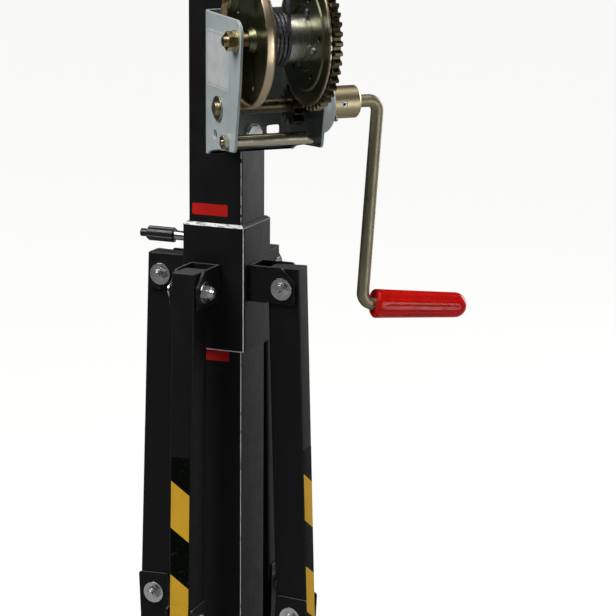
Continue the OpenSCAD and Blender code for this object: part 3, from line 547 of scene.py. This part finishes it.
def hoist_path():
    """(place, tangent, length so far): up from the drum's front and over the pulley."""
    drum_b, pulley_b = drum.dot(AWAY), pulley.dot(AWAY)
    run = Vector((pulley_b - drum_b, pulley.z - drum.z))
    lean = math.atan2(run.y, run.x) - math.acos((coil_r - wrap_r) / run.length)
    out = Vector((math.cos(lean), -math.sin(lean)))
    low = winch_point(drum_b + coil_r * out.x, drum.z - coil_r * out.y, last_turn)
    high = winch_point(pulley_b + wrap_r * out.x, pulley.z - wrap_r * out.y)
    straight = (high - low).length
    heading = (high - low).normalized()
    path = [(low + heading * s, heading, s) for s in spread(0, straight)]
    arc = math.pi + lean
    for s in spread(0, wrap_r * arc)[1:]:
        angle = -lean + s / wrap_r
        spoke = AWAY * math.cos(angle) + Z * math.sin(angle)
        turn = -AWAY * math.sin(angle) + Z * math.cos(angle)
        path.append((pulley + spoke * wrap_r, turn, straight + s))
    return path


def hoist_rope():
    """The rope's run between the drum and the inside of the mast."""
    path = hoist_path()
    points = []
    for centre, tangent, length in path:
        points += rope_ring(centre, tangent, ALONG, 2 * math.pi * length / LAY)
    faces = tube_faces(len(path), ROUND, False)
    piece = build("hoist_rope", points, faces, wire, "mast")
    soften(piece, 0)
    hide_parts("hoist_wire")


def wound_turns():
    """The turns on the drum, each a closed ring of rope."""
    count = round(2 * math.pi * coil_r / STEP)
    twists = round(2 * math.pi * coil_r / LAY * STRANDS) / STRANDS
    points, faces = [], []
    for turn in range(TURNS):
        centre = drum + ALONG * (last_turn - coil_pitch * turn)
        first = len(points)
        for i in range(count):
            angle = 2 * math.pi * i / count
            spoke = AWAY * math.cos(angle) + Z * math.sin(angle)
            heading = -AWAY * math.sin(angle) + Z * math.cos(angle)
            points += rope_ring(centre + spoke * coil_r, heading, ALONG, twists * angle)
        ring = tube_faces(count, ROUND, True)
        faces += [tuple(first + corner for corner in face) for face in ring]
    piece = build("wound_rope", points, faces, wire, "drum")
    soften(piece, 0)
    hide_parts("wire_coil")


hoist_rope()
wound_turns()


GRIP_TAPER = 1.8 * MM  # thinner by this, in radius, where the dome starts
GRIP_BORE = 6.6 * MM
GRIP_BORE_L = 30 * MM
GRIP_RIM = 2.2 * MM  # radius of the rounded edge at the crank's end
GRIP_DOME = 13 * MM  # length of the domed end
DOME_TIP = 0.05 * MM
FLUTES = 10
FLUTE_DEPTH = 0.9 * MM
FLUTE_START = 7 * MM
FLUTE_FADE = 5 * MM
GRIP_ROUND = 120  # points round the grip
RIM_STEPS = 6
BARREL_STEPS = 26
DOME_STEPS = 12


def grip_profile(thick, length):
    """(radius, height) from the bore's bottom, over the rim and barrel, to the dome's tip."""
    thin = thick - GRIP_TAPER
    profile = [(GRIP_BORE, GRIP_BORE_L), (GRIP_BORE, 0.0), (thick - GRIP_RIM, 0.0)]
    for i in range(1, RIM_STEPS + 1):
        angle = math.pi / 2 * i / RIM_STEPS
        radius = thick - GRIP_RIM + GRIP_RIM * math.sin(angle)
        profile.append((radius, GRIP_RIM - GRIP_RIM * math.cos(angle)))
    for i in range(1, BARREL_STEPS):
        share = i / BARREL_STEPS
        height = GRIP_RIM + (length - GRIP_RIM - GRIP_DOME) * share
        profile.append((thick + (thin - thick) * share, height))
    for i in range(DOME_STEPS + 1):
        angle = math.pi / 2 * i / DOME_STEPS
        squash = math.cos(angle) ** 0.8 if i < DOME_STEPS else 0.0
        height = length - GRIP_DOME + GRIP_DOME * math.sin(angle)
        profile.append((max(thin * squash, DOME_TIP), height))
    return profile


def fluted_grip():
    """Red grip: a tapered barrel with shallow flutes that fade out at both ends."""
    axis = Vector(joints["grip_spin"]["axis"]).normalized()
    centre = joint_place("grip_spin")
    near, far = extent("grip", centre, axis)
    length = far - near
    profile = grip_profile(girth("grip", centre, axis), length)
    side = axis.cross(Z).normalized()
    top = side.cross(axis)
    points = []
    for radius, height in profile:
        fade = min(1, max(0, (height - FLUTE_START) / FLUTE_FADE))
        fade *= min(1, max(0, (length - GRIP_DOME - height) / FLUTE_FADE + 0.6))
        depth = FLUTE_DEPTH * fade if radius > GRIP_BORE * 1.2 else 0.0
        for j in range(GRIP_ROUND):
            angle = 2 * math.pi * j / GRIP_ROUND
            dip = (0.5 + 0.5 * math.cos(FLUTES * angle)) ** 2
            spoke = side * math.cos(angle) + top * math.sin(angle)
            points.append(centre + axis * (near + height) + spoke * (radius - depth * dip))
    faces = tube_faces(len(profile), GRIP_ROUND, False)
    piece = build("fluted_grip", points, faces, red_plastic, "grip")
    soften(piece, 0)
    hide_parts("grip")


fluted_grip()


def sheet(name, outline, origin, right, up, thick, finish, body):
    """A thin flat sheet with the given outline, lying on a face at origin."""
    out = right.cross(up)
    count = len(outline)
    points = [origin + right * x + up * y for x, y in outline]
    points += [origin + right * x + up * y + out * thick for x, y in outline]
    faces = [tuple(range(count))[::-1], tuple(range(count, 2 * count))]
    faces += [(i, (i + 1) % count, count + (i + 1) % count, count + i) for i in range(count)]
    piece = build(name, points, faces, finish, body)
    soften(piece, 0)


def rounded(width, height, radius, steps=5):
    """Outline of a rectangle with rounded corners, centred."""
    outline = []
    for quarter in range(4):
        cx = (width / 2 - radius) * (1 if quarter in (0, 3) else -1)
        cy = (height / 2 - radius) * (1 if quarter in (0, 1) else -1)
        for i in range(steps + 1):
            angle = math.pi / 2 * (quarter + i / steps)
            outline.append((cx + radius * math.cos(angle), cy + radius * math.sin(angle)))
    return outline


# Marking tape on the outer face of every leg
LEG_LEAN = math.radians(1.75)
TAPE_W = 20.8 * MM
TAPE_T = 0.2 * MM
TAPE_GAP = 0.02 * MM  # between the tape and the leg
TAPE_TOP = 171 * MM  # below the leg's pivot, along the leg
TAPE_END = 3 * MM  # from the leg's end
# the tape just reaches onto the tube's rounded corners
TURN_W = 0.4 * MM
TURN_DROP = 0.04 * MM
STRIPE = 100 * MM  # yellow and black together, along the leg
FIRST_STRIPE = 25 * MM  # the first yellow, below the tape's top
SLOPE = 0.66  # of the stripes, along over across


def tape_vinyl(index, side):
    """Yellow and black stripes, sloping down to the right on each leg's face."""
    vinyl = Finish("tape_" + side, specular_ior_level=0.06)
    right = Matrix.Rotation(math.pi / 2 * index, 3, "Z") @ X
    pivot = joint_place("leg_" + side + "_fold")
    across = vinyl.math("SUBTRACT", vinyl.dot(vinyl.place, tuple(right)), right.dot(pivot))
    height = vinyl.dot(vinyl.place, tuple(Z))
    phase = vinyl.math("ADD", height, vinyl.math("MULTIPLY", across, SLOPE))
    start = pivot.z - TAPE_TOP - FIRST_STRIPE - SLOPE * TAPE_W / 2
    phase = vinyl.math("DIVIDE", vinyl.math("SUBTRACT", start, phase), STRIPE)
    wave = vinyl.math("FRACT", phase)
    yellow_part = vinyl.math("LESS_THAN", wave, 0.5)
    fade = vinyl.band(vinyl.noise(30, 4), 0.35, 0.7)
    yellow = vinyl.mix(fade, (0.86, 0.49, 0.04), (0.79, 0.45, 0.037))
    black = vinyl.mix(fade, (0.0012, 0.0026, 0.0014), (0.002, 0.0036, 0.0022))
    colour = vinyl.mix(yellow_part, black, yellow)
    scuff = vinyl.math("MULTIPLY", vinyl.band(vinyl.noise(260, 4), 0.6, 0.72), 0.25)
    colour = vinyl.mix(scuff, colour, (0.16, 0.14, 0.1))
    dull = vinyl.band(vinyl.noise(90, 3), 0.3, 0.7, 0.34, 0.46)
    creases = vinyl.bump(vinyl.noise(160, 2), 0.04 * MM)
    vinyl.set(base_color=colour, roughness=dull, normal=creases)
    return vinyl.material


def marking_tape(index, side):
    """Tape down the outer face of one leg, turned a little round the corners."""
    turn = Matrix.Rotation(math.pi / 2 * index, 3, "Z")
    right = turn @ X
    down = turn @ Vector((0, -math.sin(LEG_LEAN), -math.cos(LEG_LEAN)))
    out = turn @ Vector((0, -math.cos(LEG_LEAN), math.sin(LEG_LEAN)))
    pivot = joint_place("leg_" + side + "_fold")
    face = extent("leg_" + side, pivot, out)[1]
    end = extent("leg_" + side, pivot, down)[1] - TAPE_END
    half = TAPE_W / 2
    flat = half - TURN_W
    section = [(-half, TURN_DROP), (-flat, 0), (flat, 0), (half, TURN_DROP)]
    points = []
    for along in (TAPE_TOP, end):
        for lift in (TAPE_GAP, TAPE_T):
            for x, drop in section:
                away = face + lift - drop
                points.append(pivot + right * x + down * along + out * away)
    n = len(section)
    faces = []
    for i in range(n - 1):
        faces.append((i, i + 1, 2 * n + i + 1, 2 * n + i))
        faces.append((n + i, 3 * n + i, 3 * n + i + 1, n + i + 1))
        faces.append((i, n + i, n + i + 1, i + 1))
        faces.append((2 * n + i, 2 * n + i + 1, 3 * n + i + 1, 3 * n + i))
    faces.append((0, 2 * n, 3 * n, n))
    faces.append((n - 1, 2 * n - 1, 4 * n - 1, 3 * n - 1))
    vinyl = tape_vinyl(index, side)
    piece = build("tape_" + side, points, faces, vinyl, "leg_" + side)
    soften(piece, 0)


for index, side in enumerate(SIDES):
    marking_tape(index, side)


def red_vinyl():
    """Red film, a little faded in places."""
    vinyl = Finish("red_vinyl", specular_ior_level=0.4)
    fade = vinyl.band(vinyl.noise(45, 4), 0.35, 0.7)
    colour = vinyl.mix(fade, (0.66, 0.011, 0.005), (0.53, 0.009, 0.004))
    creases = vinyl.bump(vinyl.noise(160, 2), 0.04 * MM)
    vinyl.set(base_color=colour, roughness=0.4, normal=creases)
    return vinyl.material


# Plain red bars on the mast's front face: name, width, middle
BAR_H = 12 * MM
BAR_CORNER = 1.5 * MM
BAR_T = 0.12 * MM
mast_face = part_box("outer_mast")[0].y
red = red_vinyl()
for name, width, x, z in (
    ("red_bar_upper", 40 * MM, -5.5 * MM, sleeve_top + 16.5 * MM),
    ("red_bar_lower", 30 * MM, 1.0 * MM, sleeve_low.z - 6.5 * MM),
):
    outline = rounded(width, BAR_H, BAR_CORNER)
    sheet(name, outline, Vector((x, mast_face, z)), X, Z, BAR_T, red, "mast")

# Blank label on the left cheek, behind the drum axle
LABEL_W = 64 * MM
LABEL_H = 56 * MM
LABEL_T = 0.25 * MM
LABEL_CORNER = 3 * MM
LABEL_MARGIN = 2.4 * MM  # from the label's edge to its frame line
LABEL_LINE = 0.35 * MM  # half the line's width
cheek = extent("winch_frame", Vector(), ALONG)[0]
label_at = winch_point(drum.dot(AWAY) - 50 * MM, drum.z - 24.5 * MM, cheek)


def plain_label():
    """White rating label left blank: a thin frame line and nothing printed."""
    label = Finish("blank_label", specular_ior_level=0.35)
    age = label.band(label.noise(60, 4), 0.35, 0.7)
    colour = label.mix(age, (0.62, 0.66, 0.65), (0.52, 0.56, 0.55))
    past = []
    for axis, half in ((AWAY, LABEL_W / 2), (Z, LABEL_H / 2)):
        along = label.dot(label.place, tuple(axis))
        from_middle = label.math("ABSOLUTE", label.math("SUBTRACT", along, label_at.dot(axis)))
        past.append(label.math("SUBTRACT", from_middle, half - LABEL_MARGIN))
    from_line = label.math("ABSOLUTE", label.math("MAXIMUM", *past))
    line = label.band(from_line, LABEL_LINE, 0.2 * MM, 0.0, 0.7)
    colour = label.mix(line, colour, (0.2, 0.22, 0.22))
    creases = label.bump(label.noise(200, 2), 0.03 * MM)
    label.set(base_color=colour, roughness=0.42, normal=creases)
    return label.material


outline = rounded(LABEL_W, LABEL_H, LABEL_CORNER)
blank = plain_label()
sheet("rating_label", outline, label_at, AWAY, Z, LABEL_T, blank, "mast")


# ---------- studio ----------


def floor():
    """A plain pale floor, dimmer in reflections so that black paint stays black."""
    size = 40.0
    corners = [(-size, -size, 0), (size, -size, 0), (size, size, 0), (-size, size, 0)]
    mesh = bpy.data.meshes.new("floor")
    mesh.from_pydata(corners, [], [(0, 1, 2, 3)])
    plane = bpy.data.objects.new("floor", mesh)
    bpy.context.scene.collection.objects.link(plane)
    pale = Finish("floor", roughness=1.0, specular_ior_level=0.0)
    path = pale.add("ShaderNodeLightPath")
    seen = path.outputs["Is Camera Ray"]
    pale.set(base_color=pale.mix(seen, (0.34, 0.34, 0.34), (0.12, 0.12, 0.12)))
    pale.set(emission_color=(1.0, 1.0, 0.985, 1.0))
    pale.set(emission_strength=pale.band(seen, 0, 1, 0.0, 0.94))
    paint_over(plane, pale.material)


def sky():
    """White to the camera; in reflections brighter on the crank's side."""
    world = bpy.data.worlds.new("studio")
    bpy.context.scene.world = world
    world.use_nodes = True
    tree = world.node_tree
    add = tree.nodes.new
    link = tree.links.new
    background = tree.nodes["Background"]
    path = add("ShaderNodeLightPath")
    place = add("ShaderNodeTexCoord")
    dot = add("ShaderNodeVectorMath")
    dot.operation = "DOT_PRODUCT"
    dot.inputs[1].default_value = (0.85, 0.25, 0.45)
    shade = add("ShaderNodeMapRange")
    for index, value in ((1, -0.9), (2, 0.9), (3, 0.1), (4, 0.75)):
        shade.inputs[index].default_value = value
    pick = add("ShaderNodeMix")
    link(place.outputs["Generated"], dot.inputs[0])
    link(dot.outputs["Value"], shade.inputs[0])
    link(path.outputs["Is Camera Ray"], pick.inputs[0])
    link(shade.outputs[0], pick.inputs[2])
    pick.inputs[3].default_value = 1.0
    link(pick.outputs[0], background.inputs["Strength"])


def softbox(name, azimuth, elevation, distance, size, power, height):
    """An area light aimed at the mast at height; azimuth 0 is the front, 90 the right."""
    data = bpy.data.lights.new(name, "AREA")
    data.shape = "RECTANGLE"
    data.size, data.size_y = size
    data.energy = power
    lamp = bpy.data.objects.new(name, data)
    a = math.radians(azimuth)
    e = math.radians(elevation)
    back = Vector((math.sin(a) * math.cos(e), -math.cos(a) * math.cos(e), math.sin(e)))
    lamp.location = Vector((0, 0, height)) + back * distance
    lamp.rotation_euler = back.to_track_quat("Z", "Y").to_euler()
    lamp.visible_camera = False
    bpy.context.scene.collection.objects.link(lamp)


AZIMUTH = math.radians(22.76)
ELEVATION = math.radians(12.83)
ROLL = math.radians(0.42)
DISTANCE = 2692.78 * MM
FOCAL_LENGTH = 150.4  # mm, on a sensor 36 mm wide
AIM_BELOW = 92.21 * MM  # the picture's middle, below the sleeve's top
AIM_RIGHT = 84.76 * MM  # and to the right of the mast's axis


def camera():
    """The photo's viewing angle and framing."""
    azimuth, elevation, roll = AZIMUTH, ELEVATION, ROLL
    right = Vector((math.cos(azimuth), math.sin(azimuth), 0))
    flat = Vector((-math.sin(azimuth), math.cos(azimuth), 0))
    forward = flat * math.cos(elevation) - Z * math.sin(elevation)
    up = right.cross(forward)
    turned = right * math.cos(roll) + up * math.sin(roll)
    upright = up * math.cos(roll) - right * math.sin(roll)
    target = Z * (sleeve_top - AIM_BELOW) + right * AIM_RIGHT
    data = bpy.data.cameras.new("camera")
    data.sensor_width = 36
    data.lens = FOCAL_LENGTH
    data.clip_start = 0.1
    data.clip_end = 200
    view = bpy.data.objects.new("camera", data)
    bpy.context.scene.collection.objects.link(view)
    turn = Matrix((turned, upright, -forward)).transposed().to_4x4()
    view.matrix_world = Matrix.Translation(target - forward * DISTANCE) @ turn
    bpy.context.scene.camera = view


floor()
sky()
# name, azimuth, elevation, distance, size, power, height of the place it's aimed at
softbox("key", -35, 48, 3.0, (1.6, 1.6), 70, 0.8)
softbox("strip", 76, -6, 2.4, (0.3, 1.6), 11, 0.75)
softbox("back", 155, 10, 3.0, (1.5, 1.8), 40, 0.8)
softbox("top", 20, 80, 2.6, (2.0, 2.0), 45, 0.9)
camera()
bpy.context.scene.view_settings.view_transform = "Standard"
